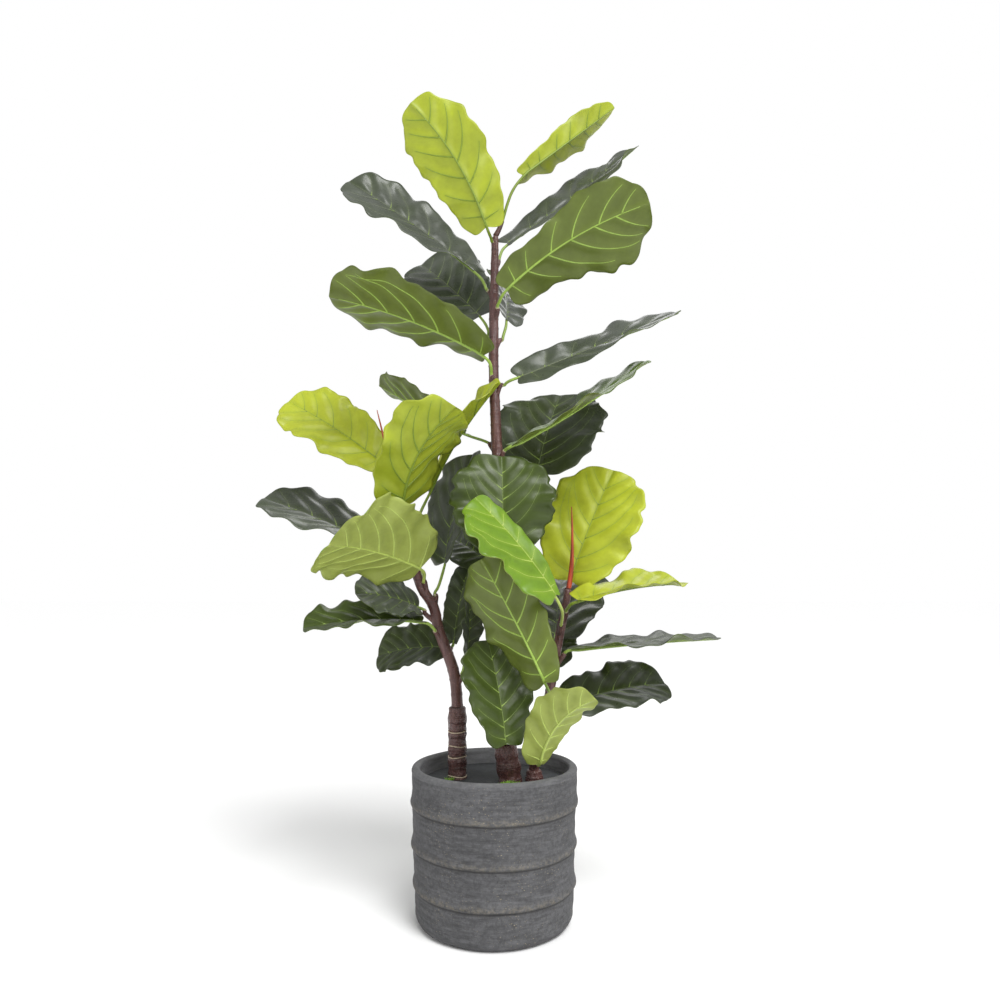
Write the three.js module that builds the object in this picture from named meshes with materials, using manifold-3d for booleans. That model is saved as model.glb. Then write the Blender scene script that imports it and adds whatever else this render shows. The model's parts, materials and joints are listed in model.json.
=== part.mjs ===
// Potted fiddle leaf fig: a moulded foliage plant with three trunks in a ringed fibre-clay pot.
// Units are millimetres, +Z is up, +X is to the right and -Y is the front.
// The origin is the centre of the pot's flat underside.
import * as THREE from 'three';
import { mergeVertices } from 'three/addons/utils/BufferGeometryUtils.js';
import Module from 'manifold-3d';

const wasm = await Module();
wasm.setup();

// ---------------------------------------------------------------- driving dimensions
const POT_HEIGHT = 219;
const RIM_RADIUS = 125; // outside of the rim
const WALL = 13; // rim and wall thickness
const POT_FLOOR = 16;
const FOOT_RADIUS = 102; // flat that the pot stands on
const POT_BOTTOM_RADIUS = 116; // side wall just above the rounded foot
const RING_HEIGHTS = [50, 104, 162]; // lower edge of each raised ring
const RING_RISE = 22; // height of one ring along the wall
const RING_PROUD = 3; // how far a ring stands out from the wall
const COVER_TOP = 197; // upper face of the cover disc
const COVER_THICKNESS = 6;
const COVER_GAP = 4.5; // shadow gap between the disc and the wall
const SOCKET_DEPTH = 110; // how deep the trunks are set in the filler
const CLEARANCE = 0.3; // gap between touching pieces

const BLADE_THICKNESS = 2;
const RIB_DEPTH = 1.4; // how far the midrib stands below the blade
const PETIOLE_RADIUS = 2.3;
const STUB_RADIUS = 3.4;
const STUB_REACH = 6; // how far a stub's end stands off the trunk's surface
const STUB_RISE = 18; // how high a petiole climbs beside the trunk before it turns outwards
const RUFFLE = 4; // height of the waves along a blade's margin

const ROUND_SIDES = 32; // facets round the pot
const TRUNK_SIDES = 10;
const LOOP = 8; // points round one section of a leaf

// ---------------------------------------------------------------- small helpers
const rad = THREE.MathUtils.degToRad;
const vec = (x, y, z) => new THREE.Vector3(x, y, z);
const root = new THREE.Group();

function finish(color, roughness, metalness = 0) {
  return new THREE.MeshStandardMaterial({ color, roughness, metalness });
}

function addPiece(name, geometry, material) {
  const mesh = new THREE.Mesh(geometry, material);
  mesh.name = name;
  root.add(mesh);
  return mesh;
}

function toSolid(geometry) {
  const bare = geometry.clone();
  bare.deleteAttribute('normal');
  bare.deleteAttribute('uv');
  const merged = mergeVertices(bare, 1e-4);
  const vertProperties = new Float32Array(merged.attributes.position.array);
  const triVerts = new Uint32Array(merged.index.array);
  return new wasm.Manifold(new wasm.Mesh({ numProp: 3, vertProperties, triVerts }));
}

function toGeometry(solid) {
  const mesh = solid.getMesh();
  const geometry = new THREE.BufferGeometry();
  geometry.setAttribute('position', new THREE.BufferAttribute(new Float32Array(mesh.vertProperties), 3));
  geometry.setIndex(new THREE.BufferAttribute(new Uint32Array(mesh.triVerts), 1));
  geometry.computeVertexNormals();
  return geometry;
}

// A closed body of revolution about Z, from [radius, height] pairs that start and end on the axis.
function turned(profile, sides = ROUND_SIDES) {
  const geometry = new THREE.LatheGeometry(profile.map(([r, z]) => new THREE.Vector2(r, z)), sides);
  return geometry.rotateX(Math.PI / 2);
}

function disc(x, y, radius, from, to, sides = TRUNK_SIDES) {
  const geometry = new THREE.CylinderGeometry(radius, radius, to - from, sides);
  return geometry.rotateX(Math.PI / 2).translate(x, y, (from + to) / 2);
}

// A closed skin over a row of equally long point loops, closed by a point at each end.
function loft(start, loops, end) {
  const count = loops[0].length;
  const points = [start, ...loops.flat(), end];
  const index = [];
  const at = (ring, side) => 1 + ring * count + (side % count);
  for (let side = 0; side < count; side += 1) {
    index.push(0, at(0, side + 1), at(0, side));
    for (let ring = 0; ring < loops.length - 1; ring += 1) {
      index.push(at(ring, side), at(ring + 1, side + 1), at(ring + 1, side));
      index.push(at(ring, side), at(ring, side + 1), at(ring + 1, side + 1));
    }
    index.push(points.length - 1, at(loops.length - 1, side), at(loops.length - 1, side + 1));
  }
  const geometry = new THREE.BufferGeometry();
  geometry.setAttribute('position', new THREE.Float32BufferAttribute(points.flatMap((p) => [p.x, p.y, p.z]), 3));
  geometry.setIndex(index);
  geometry.computeVertexNormals();
  return geometry;
}

// A round rod with a radius of its own at every point of its path.
function rod(path, radii, sides) {
  const loops = path.map((point, i) => {
    const ahead = path[Math.min(i + 1, path.length - 1)];
    const behind = path[Math.max(i - 1, 0)];
    const tangent = ahead.clone().sub(behind).normalize();
    const across = vec(0, 1, 0).cross(tangent).normalize();
    const up = tangent.clone().cross(across);
    return Array.from({ length: sides }, (_, k) => {
      const angle = (2 * Math.PI * k) / sides;
      return point
        .clone()
        .addScaledVector(across, radii[i] * Math.cos(angle))
        .addScaledVector(up, radii[i] * Math.sin(angle));
    });
  });
  return loft(path[0], loops, path[path.length - 1]);
}

// ---------------------------------------------------------------- pot, filler and cover disc
const POT_CLAY = finish(0x595b60, 0.9);
const COVER_GREY = finish(0x3d3f43, 0.95);
const FILLER_BROWN = finish(0x4a3b2c, 0.95);

// Radius of the plain wall at a height, before the rings are added.
function wallRadius(height) {
  return THREE.MathUtils.mapLinear(height, 15, POT_HEIGHT, POT_BOTTOM_RADIUS, RIM_RADIUS);
}

function innerRadius(height) {
  return wallRadius(height) - WALL;
}

function potProfile() {
  const profile = [[0, 0], [FOOT_RADIUS, 0]];
  const foot = POT_BOTTOM_RADIUS - FOOT_RADIUS;
  for (const angle of [30, 60, 90]) {
    const out = FOOT_RADIUS + foot * Math.sin(rad(angle));
    profile.push([out, foot * (1 - Math.cos(rad(angle)))]);
  }
  for (const low of RING_HEIGHTS) {
    profile.push([wallRadius(low) - 0.5, low]);
    profile.push([wallRadius(low + 4) + RING_PROUD * 0.9, low + 4]);
    profile.push([wallRadius(low + 8) + RING_PROUD, low + 8]);
    profile.push([wallRadius(low + RING_RISE), low + RING_RISE]);
  }
  const round = WALL / 2;
  for (const angle of [0, 45, 90, 135, 180]) {
    const across = RIM_RADIUS - round + round * Math.cos(rad(angle));
    profile.push([across, POT_HEIGHT - round + round * Math.sin(rad(angle))]);
  }
  profile.push([innerRadius(POT_FLOOR + 8), POT_FLOOR + 8]);
  profile.push([innerRadius(POT_FLOOR) - 8, POT_FLOOR], [0, POT_FLOOR]);
  return profile;
}

addPiece('pot', turned(potProfile()), POT_CLAY);

// ---------------------------------------------------------------- trunks
const BARK = finish(0x462826, 0.35);
const BARK_BASE = finish(0x5f413e, 0.4);
const TRUNKS = {
  left: {
    sleeveRadius: 14.5,
    sleeveTop: 303,
    radii: [9, 8.8, 8.6, 8.4, 8.2, 8, 7.6, 7, 6.6, 6],
    path: [[-56, 4, 200], [-57, 4, 303], [-64, 6, 359], [-75, 8, 388], [-87, 8, 418], [-96, 6, 455], [-115, 4, 486],
      [-124, 2, 512], [-136, 0, 560], [-146, 0, 600]],
  },
  centre: {
    sleeveRadius: 18,
    sleeveTop: 251,
    radii: [12, 11.5, 11.2, 11, 9.6, 8.6, 8, 7.4, 5.5],
    path: [[24, -16, 200], [15, -14, 261], [12, -13, 329], [12, -12, 404], [9, -10, 542], [4, -8, 701], [-1, -6, 816],
      [-1, -4, 951], [1, -4, 1062]],
  },
  right: {
    sleeveRadius: 13,
    sleeveTop: 213,
    radii: [7.6, 7.6, 7.4, 7.2, 7, 6.6, 5.6],
    path: [[60, -10, 200], [60, -10, 213], [69, -8, 255], [84, -4, 321], [95, 0, 381], [108, 2, 442], [116, 4, 482]],
  },
};

for (const trunk of Object.values(TRUNKS)) {
  trunk.points = trunk.path.map(([x, y, z]) => vec(x, y, z));
}

// The middle and the radius of a trunk at a height.
function trunkAt(trunk, height) {
  const { points, radii } = trunk;
  const last = points.length - 1;
  let i = 1;
  while (i < last && points[i].z < height) i += 1;
  const share = THREE.MathUtils.clamp((height - points[i - 1].z) / (points[i].z - points[i - 1].z), 0, 1);
  return {
    middle: points[i - 1].clone().lerp(points[i], share),
    radius: THREE.MathUtils.lerp(radii[i - 1], radii[i], share),
  };
}

// ---------------------------------------------------------------- leaves
const LEAF_DARK = 0x3f4f3a;
const LEAF_MID = 0x6e873c;
const LEAF_LIGHT = 0xb0c03c;

// One entry for each leaf. "at" is the height where its petiole leaves the trunk, and "petiole" runs from there to
// the foot of the blade. The blade's chord has a compass heading (0 right, 90 back, 180 left, -90 front), a rise
// above level and a length. "roll" turns the upper face to the leaf's right, "twist" adds to it from foot to tip,
// "fold" lifts the two halves, "bow" arches the midrib, "sway" bends it to the right, "curl" drops the tip and
// "notch" sets the tip back between the shoulders. "left" and "right" narrow or widen one half.
const LEAVES = [
  { name: 'centre_leaf_01', trunk: 'centre', at: 1036, petiole: [-14, -36, 24], heading: -150, rise: 51, length: 218,
    width: 116, roll: 52, fold: 6, bow: 6, sway: -14, curl: -15, full: 0.75, tone: LEAF_LIGHT },
  { name: 'centre_leaf_02', trunk: 'centre', at: 1058, petiole: [46, 2, 114], heading: 20, rise: 43,
    length: 242, width: 105, roll: -45, fold: 28, bow: 0, right: 0.55, full: 0.6, tone: LEAF_LIGHT },
  { name: 'centre_leaf_03', trunk: 'centre', at: 951, petiole: [-34, 24, 63], heading: 170, rise: 39, length: 290,
    width: 132, roll: -42, twist: -30, fold: 8, bow: 4, full: 0.6, tone: LEAF_DARK },
  { name: 'centre_leaf_04', trunk: 'centre', at: 1000, petiole: [22, 24, 62], heading: 12, rise: 41, length: 305,
    width: 108, roll: 35, twist: -22, fold: 10, bow: -4, tone: LEAF_DARK },
  { name: 'centre_leaf_05', trunk: 'centre', at: 919, petiole: [21, -36, 36], heading: -18, rise: 25,
    length: 250, width: 148, roll: -48, fold: 8, bow: 8, sway: 13, left: 1.1, right: 0.75, full: 0,
    tone: LEAF_MID },
  { name: 'centre_leaf_06', trunk: 'centre', at: 875, petiole: [-24, 44, 66], heading: 135, rise: 42, length: 215,
    width: 145, roll: -50, fold: 8, bow: 8, full: 0.6, tone: LEAF_DARK },
  { name: 'centre_leaf_07', trunk: 'centre', at: 860, petiole: [22, 24, 66], heading: 95, rise: 42, length: 190,
    width: 92, roll: 40, fold: 8, bow: 8, full: 0.4, tone: LEAF_DARK },
  { name: 'centre_leaf_08', trunk: 'centre', at: 802, petiole: [-16, -36, 44], heading: -167, rise: 17,
    length: 250, width: 150, roll: 14, fold: 8, bow: 6, sway: -8, left: 1.1, right: 0.95, full: 0.15,
    tone: LEAF_MID },
  { name: 'centre_leaf_09', trunk: 'centre', at: 793, petiole: [39, -16, 23], heading: 7, rise: 24, length: 292,
    width: 98, roll: 38, twist: -50, fold: 10, bow: 0, tone: LEAF_DARK },
  { name: 'centre_leaf_10', trunk: 'centre', at: 684, petiole: [25, -18, 21], heading: 3, rise: 33, length: 255,
    width: 125, roll: 12, twist: 8, fold: 6, bow: -6, tone: LEAF_MID },
  { name: 'centre_leaf_11', trunk: 'centre', at: 613, petiole: [62, 44, 58], heading: 62, rise: 57, length: 185,
    width: 190, roll: 12, fold: 5, bow: 8, full: 1, tone: LEAF_DARK },
  { name: 'centre_leaf_12', trunk: 'centre', at: 702, petiole: [-54, 56, 38], heading: 162, rise: 31,
    length: 188, width: 110, roll: 22, fold: 12, bow: 0, full: 0.3, tone: LEAF_MID },
  { name: 'centre_leaf_13', trunk: 'centre', at: 503, petiole: [3, -54, 39], heading: 95, rise: 84,
    length: 136, width: 156, roll: 0, fold: 4, bow: 8, full: 1, notch: 16, tone: LEAF_DARK },
  { name: 'centre_leaf_14', trunk: 'centre', at: 580, petiole: [-4, 60, 66], heading: 90, rise: 30, length: 90,
    width: 70, roll: -20, fold: 10, bow: 8, tone: LEAF_MID },
  { name: 'centre_leaf_15', trunk: 'centre', at: 500, petiole: [-20, 48, 28], heading: 125, rise: 20, length: 130,
    width: 110, roll: -40, fold: 8, bow: 8, full: 0.5, tone: LEAF_DARK },
  { name: 'centre_leaf_16', trunk: 'centre', at: 420, petiole: [-24, 42, 50], heading: 92, rise: 12, length: 70,
    width: 66, roll: 0, fold: 6, bow: 4, tone: LEAF_DARK },
  { name: 'centre_leaf_17', trunk: 'centre', at: 258, petiole: [2, -57, 4], heading: 128, rise: 73, length: 150,
    width: 118, roll: -8, fold: 5, bow: 6, full: 0.5, tone: LEAF_DARK },

  { name: 'left_leaf_01', trunk: 'left', at: 560, petiole: [-46, 16, 125], heading: 166, rise: 33, length: 206,
    width: 120, roll: -55, fold: 8, bow: 10, full: 0.6, tone: LEAF_LIGHT },
  { name: 'left_leaf_02', trunk: 'left', at: 540, petiole: [-8, -60, 66], heading: -38, rise: 52, length: 172,
    width: 166, roll: 0, fold: 16, bow: 10, full: 0.6, sway: 12, left: 1.24, right: 0.82, tone: LEAF_LIGHT },
  { name: 'left_leaf_03', trunk: 'left', at: 560, petiole: [30, 46, 86], heading: -39, rise: 46, length: 214,
    width: 84, roll: 40, fold: 18, bow: 8, tone: LEAF_LIGHT },
  { name: 'left_leaf_04', trunk: 'left', at: 480, petiole: [0, -46, 33], heading: -122, rise: 7, length: 194,
    width: 145, roll: 40, fold: 8, bow: 12, left: 1.25, full: 0.8, tone: LEAF_MID },
  { name: 'left_leaf_05', trunk: 'left', at: 470, petiole: [-24, 42, 54], heading: 176, rise: 23, length: 280,
    width: 148, roll: -26, fold: 8, bow: 6, tone: LEAF_DARK },
  { name: 'left_leaf_06', trunk: 'left', at: 460, petiole: [18, 30, 65], heading: 32, rise: 74, length: 190,
    width: 160, roll: 0, fold: 12, bow: 8, full: 0.4, tone: LEAF_DARK },
  { name: 'left_leaf_07', trunk: 'left', at: 430, petiole: [-28, -10, 24], heading: -150, rise: 12, length: 105,
    width: 92, roll: -45, fold: 8, bow: 8, full: 0.6, tone: LEAF_DARK },
  { name: 'left_leaf_08', trunk: 'left', at: 394, petiole: [-33, -26, 39], heading: -167, rise: -3, length: 176,
    width: 110, roll: -20, fold: 12, bow: 8, tone: LEAF_MID },
  { name: 'left_leaf_09', trunk: 'left', at: 360, petiole: [-14, 36, 30], heading: 165, rise: -8, length: 118,
    width: 102, roll: -45, fold: 8, bow: 8, full: 0.7, tone: LEAF_DARK },
  { name: 'left_leaf_10', trunk: 'left', at: 378, petiole: [6, 26, 20], heading: 60, rise: 70, length: 130,
    width: 55, roll: 0, fold: 15, bow: 6, full: 0.5, tone: LEAF_DARK },
  { name: 'left_leaf_11', trunk: 'left', at: 335, petiole: [16, -8, 36], heading: 80, rise: 76, length: 95,
    width: 50, roll: 60, fold: 15, bow: 6, tone: LEAF_DARK },

  { name: 'right_leaf_01', trunk: 'right', at: 419, petiole: [-15, -98, 55], heading: -176, rise: 50, length: 180,
    width: 125, roll: -52, fold: 10, bow: 8, left: 1.25, right: 0.35, full: 0.4, tone: LEAF_LIGHT },
  { name: 'right_leaf_02', trunk: 'right', at: 314, petiole: [-10, -94, 37], heading: -172, rise: 62, length: 195,
    width: 140, roll: 62, fold: 20, bow: 8, left: 0.7, right: 0.95, full: 0.5, tone: LEAF_MID },
  { name: 'right_leaf_03', trunk: 'right', at: 462, petiole: [8, 18, 34], heading: 28, rise: 64, length: 205,
    width: 158, roll: 42, fold: 4, bow: 8, full: 1, tone: LEAF_LIGHT },
  { name: 'right_leaf_04', trunk: 'right', at: 435, petiole: [20, -38, 30], heading: 18, rise: 8, length: 180,
    width: 105, roll: 12, fold: 15, bow: 6, tone: LEAF_LIGHT },
  { name: 'right_leaf_05', trunk: 'right', at: 388, petiole: [0, 42, 18], heading: 80, rise: 32, length: 200,
    width: 170, roll: 0, fold: 6, bow: 8, full: 0.8, tone: LEAF_DARK },
  { name: 'right_leaf_06', trunk: 'right', at: 362, petiole: [28, -10, 28], heading: 0, rise: 4, length: 225,
    width: 125, roll: 3, fold: 6, bow: 2, tone: LEAF_DARK },
  { name: 'right_leaf_07', trunk: 'right', at: 283, petiole: [31, 20, 20], heading: 16, rise: 9, length: 178,
    width: 118, roll: 30, fold: 8, bow: 8, full: 0.5, tone: LEAF_DARK },
  { name: 'right_leaf_08', trunk: 'right', at: 222, petiole: [4, -60, 12], heading: -45, rise: 45, length: 142,
    width: 92, roll: -35, fold: 12, bow: 8, sway: 14, left: 0.55, full: 0.5, tone: LEAF_MID },
  { name: 'right_leaf_09', trunk: 'right', at: 345, petiole: [-4, 40, 14], heading: 92, rise: 35, length: 110,
    width: 112, roll: 0, fold: 6, bow: 6, full: 0.8, tone: LEAF_DARK },
];

// Half the blade's width along its length, as a share of the full half width: rounded lobes at the foot, a waist,
// and the broad shoulder that gives the plant its name.
const OUTLINE = [[0, 0.05], [0.04, 0.42], [0.12, 0.58], [0.25, 0.61], [0.39, 0.7], [0.54, 0.87], [0.69, 0.99],
  [0.82, 0.97], [0.93, 0.66], [1, 0.02]];
// The same for an oval young blade. "full" blends a leaf from the first towards this.
const OVAL = [0.05, 0.45, 0.68, 0.87, 0.97, 1, 0.97, 0.84, 0.58, 0.02];
const PETIOLE_STEPS = 4;

// How a blade sits at a share t of its length: the place of its midrib, its right and its upper direction.
function bladeFrame(leaf, foot, t) {
  const { heading, rise, length, roll = 0, twist = 0, bow = 0, sway = 0, curl = 0 } = leaf;
  const ahead = vec(
    Math.cos(rad(rise)) * Math.cos(rad(heading)),
    Math.cos(rad(rise)) * Math.sin(rad(heading)),
    Math.sin(rad(rise)),
  );
  const level = ahead.clone().cross(vec(0, 0, 1)).normalize();
  const face = level.clone().cross(ahead);
  const turn = (angle) => ({
    right: level.clone().multiplyScalar(Math.cos(angle)).addScaledVector(face, -Math.sin(angle)),
    up: face.clone().multiplyScalar(Math.cos(angle)).addScaledVector(level, Math.sin(angle)),
  });
  const whole = turn(rad(roll));
  const here = turn(rad(roll + twist * (t - 0.5)));
  const arch = 4 * t * (1 - t);
  const archSlope = 4 - 8 * t;
  const drop = Math.max(0, (t - 0.6) / 0.4);
  const middle = foot
    .clone()
    .addScaledVector(ahead, length * t)
    .addScaledVector(whole.up, bow * arch - curl * drop * drop)
    .addScaledVector(whole.right, sway * arch);
  const tangent = ahead
    .clone()
    .multiplyScalar(length)
    .addScaledVector(whole.up, bow * archSlope - (2 * curl * drop) / 0.4)
    .addScaledVector(whole.right, sway * archSlope)
    .normalize();
  const right = here.right.addScaledVector(tangent, -here.right.dot(tangent)).normalize();
  return { middle, tangent, right, up: right.clone().cross(tangent) };
}

// The eight points of one section: left edge, upper face, right edge, under face. The upper face's quarter points
// lie nearer the midrib than the under face's, as on a blade whose edges thin out from below.
function bladeLoop(leaf, index, foot, t, share) {
  const { width, length, fold = 0, left = 1, right = 1, notch = 0 } = leaf;
  const frame = bladeFrame(leaf, foot, t);
  const half = (width / 2) * share;
  const place = (across, rise) => {
    const size = Math.abs(across);
    const side = across < 0 ? left : right;
    const reach = half * side * across;
    const beat = Math.sin(9 * t + 1.7 * index + 1.3 * Math.sign(across));
    const wave = RUFFLE * beat * size * size * Math.min(1, share * 2);
    const lift = half * side * Math.tan(rad(fold)) * size ** 1.3 + wave;
    const sweep = size * size * (notch * Math.exp(12 * t - 12) - length * share * 0.2 * Math.exp(-12 * t));
    const narrow = Math.cos(rad(fold));
    return frame.middle
      .clone()
      .addScaledVector(frame.right, reach * narrow)
      .addScaledVector(frame.up, lift * narrow + rise)
      .addScaledVector(frame.tangent, sweep);
  };
  const skin = BLADE_THICKNESS / 2;
  const rib = skin + RIB_DEPTH * (1 - 0.7 * t);
  return [
    place(-1, 0), place(-0.45, skin), place(0, skin), place(0.45, skin),
    place(1, 0), place(0.55, -skin), place(0, -rib), place(-0.55, -skin),
  ];
}

// The petiole's curve from the middle of the trunk, rising first and then reaching for the blade.
function petioleCurve(leaf) {
  const trunk = TRUNKS[leaf.trunk];
  const { middle, radius } = trunkAt(trunk, leaf.at);
  const reach = vec(...leaf.petiole);
  const foot = middle.clone().add(reach);
  const aside = reach.clone().setZ(0).normalize();
  const toBlade = bladeFrame(leaf, foot, 0).tangent;
  const out = middle.clone().addScaledVector(aside, radius + 8).add(vec(0, 0, STUB_RISE));
  const near = foot.clone().addScaledVector(toBlade, -reach.length() * 0.3);
  const curve = new THREE.CubicBezierCurve3(middle, out, near, foot);
  let stubShare = 0.1;
  const standOff = (point) => {
    const axis = trunkAt(trunk, point.z).middle;
    return Math.hypot(point.x - axis.x, point.y - axis.y);
  };
  while (stubShare < 0.7 && standOff(curve.getPointAt(stubShare)) < radius + STUB_REACH) stubShare += 0.02;
  return { curve, foot, stubShare };
}

function leafGeometry(leaf, index) {
  const { curve, foot, stubShare } = petioleCurve(leaf);
  const first = bladeFrame(leaf, foot, 0);
  const from = stubShare + CLEARANCE / curve.getLength();
  const loops = [];
  for (let i = 0; i < PETIOLE_STEPS; i += 1) {
    const share = THREE.MathUtils.lerp(from, 0.96, i / (PETIOLE_STEPS - 1));
    const tangent = curve.getTangentAt(share);
    const right = first.right.clone().addScaledVector(tangent, -first.right.dot(tangent)).normalize();
    const up = right.clone().cross(tangent);
    loops.push(
      Array.from({ length: LOOP }, (_, k) => {
        const angle = Math.PI - (2 * Math.PI * k) / LOOP;
        return curve
          .getPointAt(share)
          .addScaledVector(right, PETIOLE_RADIUS * Math.cos(angle))
          .addScaledVector(up, PETIOLE_RADIUS * Math.sin(angle));
      }),
    );
  }
  OUTLINE.forEach(([t, share], i) => {
    loops.push(bladeLoop(leaf, index, foot, t, THREE.MathUtils.lerp(share, OVAL[i], leaf.full ?? 0)));
  });
  return loft(curve.getPointAt(from), loops, bladeFrame(leaf, foot, 1.004).middle);
}

function stubSolid(leaf) {
  const { curve, stubShare } = petioleCurve(leaf);
  const path = [0, 0.35, 0.7, 1].map((share) => curve.getPointAt(share * stubShare));
  return toSolid(rod(path, [STUB_RADIUS, STUB_RADIUS, STUB_RADIUS, STUB_RADIUS * 0.9], 6));
}

// ---------------------------------------------------------------- trunks, bark sleeves, cover disc and filler
const SLEEVE_WAVES = [1, 0.94, 1.02, 0.95, 1];

// The bark sleeve stands in a socket of the filler, and the trunk grows out of its top.
function sleeveGeometry(trunk) {
  const bottom = COVER_TOP - SOCKET_DEPTH;
  const heights = [bottom, COVER_TOP - COVER_THICKNESS, COVER_TOP + 4];
  const swells = [1, 1, 1.04];
  SLEEVE_WAVES.forEach((swell, i) => {
    heights.push(THREE.MathUtils.lerp(COVER_TOP + 10, trunk.sleeveTop - CLEARANCE, (i + 1) / SLEEVE_WAVES.length));
    swells.push(swell);
  });
  const foot = trunkAt(trunk, COVER_TOP).middle;
  const path = heights.map((z) => (z > COVER_TOP ? trunkAt(trunk, z).middle.setZ(z) : vec(foot.x, foot.y, z)));
  // The last two points share one place, so that the top is level.
  path[path.length - 2] = path[path.length - 1].clone().setZ(path[path.length - 2].z);
  return rod(path, swells.map((swell) => swell * trunk.sleeveRadius), TRUNK_SIDES);
}

// A buried piece is cut by a plain round socket that clears the sleeves.
function withSockets(geometry, from) {
  let solid = toSolid(geometry);
  for (const trunk of Object.values(TRUNKS)) {
    const foot = trunkAt(trunk, COVER_TOP).middle;
    const socket = disc(foot.x, foot.y, trunk.sleeveRadius * 1.08 + 1, from, COVER_TOP + 20, 12);
    solid = solid.subtract(toSolid(socket));
  }
  return toGeometry(solid);
}

const coverBottom = COVER_TOP - COVER_THICKNESS;
const fillerTop = coverBottom - CLEARANCE;
const coverRadius = innerRadius(COVER_TOP) - COVER_GAP;
const filler = turned([
  [0, POT_FLOOR + CLEARANCE],
  [innerRadius(POT_FLOOR) - 8.5, POT_FLOOR + CLEARANCE],
  [innerRadius(POT_FLOOR + 8) - 0.6, POT_FLOOR + 8],
  [innerRadius(fillerTop) - 0.6, fillerTop],
  [0, fillerTop],
]);
const cover = turned([[0, coverBottom], [coverRadius, coverBottom], [coverRadius, COVER_TOP - 1],
  [coverRadius - 1, COVER_TOP], [0, COVER_TOP]]);

addPiece('planting_filler', withSockets(filler, COVER_TOP - SOCKET_DEPTH - 1), FILLER_BROWN);
addPiece('cover_disc', withSockets(cover, coverBottom - 5), COVER_GREY);

for (const [name, trunk] of Object.entries(TRUNKS)) {
  const above = trunk.points.filter((point) => point.z > trunk.sleeveTop);
  const start = trunkAt(trunk, trunk.sleeveTop);
  const bottom = start.middle.clone().setZ(trunk.sleeveTop);
  const path = [bottom, bottom.clone().setZ(trunk.sleeveTop + 5), ...above];
  const radii = [start.radius, start.radius, ...trunk.radii.slice(-above.length)];
  let solid = toSolid(rod(path, radii, TRUNK_SIDES));
  for (const leaf of LEAVES) {
    if (leaf.trunk === name) solid = solid.add(stubSolid(leaf));
  }
  addPiece(`${name}_trunk`, toGeometry(solid), BARK);
  addPiece(`${name}_bark_sleeve`, sleeveGeometry(trunk), BARK_BASE);
}

// ---------------------------------------------------------------- buds and moss
const BUD_RED = finish(0xb04a28, 0.4);
const MOSS_GREEN = finish(0x5f7a2c, 1);
const BUD_RADIUS = 4.2;

// A rolled young leaf: a slim tapering sheath on the tip of a trunk.
function budGeometry(trunk, reach) {
  const top = trunk.points[trunk.points.length - 1];
  const along = top.clone().sub(trunk.points[trunk.points.length - 2]).normalize();
  const foot = top.clone().addScaledVector(along, 2 * CLEARANCE);
  const tip = top.clone().add(vec(...reach));
  const curve = new THREE.QuadraticBezierCurve3(foot, foot.clone().addScaledVector(along, 45), tip);
  const shares = [0, 0.08, 0.25, 0.5, 0.75, 0.92, 1];
  const radii = [1, 1, 0.9, 0.7, 0.5, 0.3, 0.15].map((share) => share * BUD_RADIUS);
  return rod(shares.map((share) => curve.getPoint(share)), radii, 6);
}

addPiece('left_bud', budGeometry(TRUNKS.left, [-42, -8, 166]), BUD_RED);
addPiece('right_bud', budGeometry(TRUNKS.right, [5, -16, 128]), BUD_RED);

// A low tuft lying on the cover disc.
function tuft(x, y, long, wide, high) {
  const mound = turned([[0, 0], [1, 0], [0.95, 0.4], [0.6, 0.85], [0, 1]], 10);
  return mound.scale(long, wide, high).translate(x, y, COVER_TOP + CLEARANCE);
}

addPiece('moss_front', tuft(25, -45, 17, 8, 6), MOSS_GREEN);
addPiece('moss_side', tuft(-66, -18, 6, 4, 4), MOSS_GREEN);

LEAVES.forEach((leaf, index) => addPiece(leaf.name, leafGeometry(leaf, index), finish(leaf.tone, 0.4)));

export default root;
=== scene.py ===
"""Looks of the potted fiddle leaf fig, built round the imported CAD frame. Metres, +Z up, -Y is the front."""
import json
import math

import bpy
import numpy as np
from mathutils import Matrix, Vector


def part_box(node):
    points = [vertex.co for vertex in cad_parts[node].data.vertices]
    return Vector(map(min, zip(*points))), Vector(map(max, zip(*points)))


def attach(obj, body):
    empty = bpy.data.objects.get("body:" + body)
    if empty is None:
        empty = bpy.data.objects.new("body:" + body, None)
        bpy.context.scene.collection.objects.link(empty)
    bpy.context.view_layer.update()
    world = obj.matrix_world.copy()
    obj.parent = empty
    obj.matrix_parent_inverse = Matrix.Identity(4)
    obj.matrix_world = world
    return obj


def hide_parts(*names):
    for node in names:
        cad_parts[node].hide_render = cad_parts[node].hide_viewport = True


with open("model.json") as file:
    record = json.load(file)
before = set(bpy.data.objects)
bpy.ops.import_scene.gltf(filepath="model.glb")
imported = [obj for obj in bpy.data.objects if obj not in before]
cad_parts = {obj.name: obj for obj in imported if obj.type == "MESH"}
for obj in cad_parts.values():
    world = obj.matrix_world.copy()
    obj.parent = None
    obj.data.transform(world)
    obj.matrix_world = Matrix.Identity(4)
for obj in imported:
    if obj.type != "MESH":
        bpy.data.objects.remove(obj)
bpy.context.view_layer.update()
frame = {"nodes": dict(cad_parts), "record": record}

MM = 0.001


# ------------------------------------------------------------------ colours and node helpers
def linear(r, g, b):
    """An sRGB colour, 0 to 255, as linear RGBA."""
    def one(value):
        value /= 255
        return value / 12.92 if value <= 0.04045 else ((value + 0.055) / 1.055) ** 2.4
    return (one(r), one(g), one(b), 1.0)


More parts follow.
